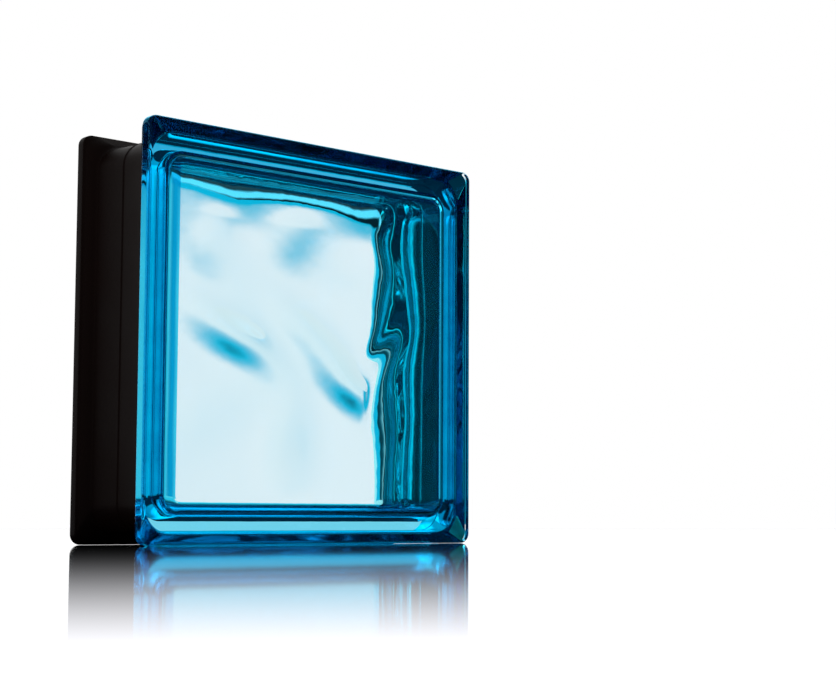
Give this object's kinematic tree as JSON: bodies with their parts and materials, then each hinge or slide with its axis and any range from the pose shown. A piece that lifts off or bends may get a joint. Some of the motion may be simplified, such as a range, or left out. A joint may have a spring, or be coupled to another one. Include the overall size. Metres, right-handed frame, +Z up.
{
  "type": "glass block",
  "caption": "Square hollow glass block with wavy inner faces, fused rims, a mortar channel round the edge and a dark blue-mirrored edge coat.",
  "frame": {"origin": "on the floor, below the middle of the block, which stands on the lower edges of its two faces", "axes": "+X along the faces to the right, +Y from the front face to the back face, +Z up"},
  "size_m": [0.24, 0.08, 0.24],
  "materials": {
    "glass": "clear pressed glass, fire polished outside, softly waved inside",
    "edge_coat": "near-black lacquer over a blue mirror film that shows through the glass"
  },
  "bodies": {
    "root": {"front_half": "glass", "back_half": "glass", "edge_coat": "edge_coat"}
  },
  "joints": []
}
